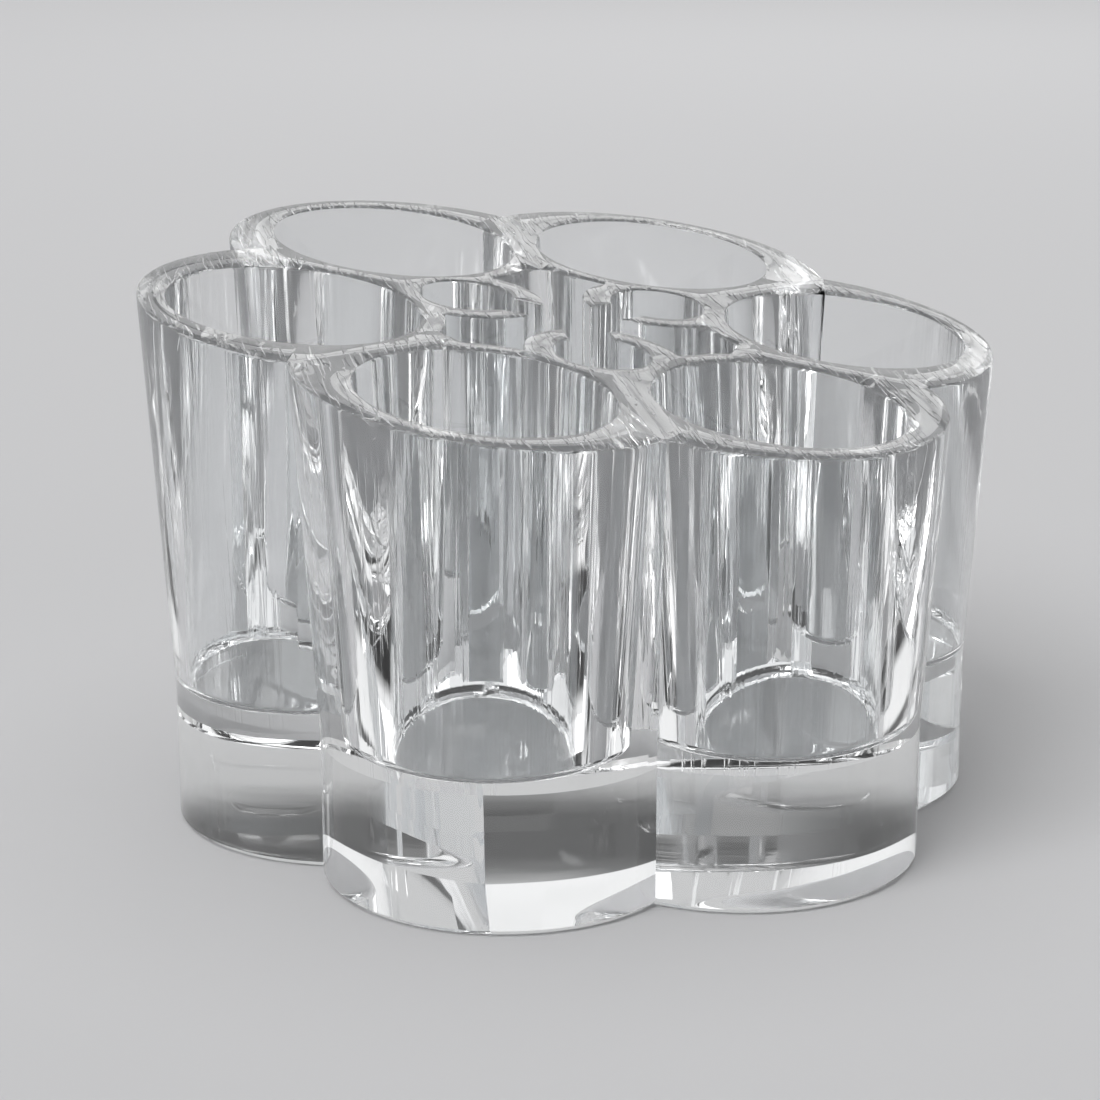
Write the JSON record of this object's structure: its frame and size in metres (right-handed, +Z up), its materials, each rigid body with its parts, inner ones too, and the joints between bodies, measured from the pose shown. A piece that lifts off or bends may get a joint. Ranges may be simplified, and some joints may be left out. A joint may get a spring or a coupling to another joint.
{
  "type": "makeup organizer",
  "caption": "Clear acrylic flower-shaped cosmetics holder: round petal wells round small slotted centre tubes and an open middle, on a thick solid base, with one slanted polished rim.",
  "frame": {"origin": "middle of the flat underside, on the upright axis of the flower", "axes": "+Z up, +X through the right-hand petal, -Y towards the low front; the rim is highest towards the back left petal"},
  "size_m": [0.1378, 0.1281, 0.0891],
  "materials": {
    "clear_acrylic": "polished, water clear"
  },
  "bodies": {
    "root": {"base_block": "clear_acrylic", "petal_right": "clear_acrylic", "petal_back_right": "clear_acrylic", "petal_back_left": "clear_acrylic", "petal_left": "clear_acrylic", "petal_front_left": "clear_acrylic", "petal_front_right": "clear_acrylic", "small_tube_right": "clear_acrylic", "small_tube_left": "clear_acrylic", "small_tube_front": "clear_acrylic"}
  },
  "joints": []
}
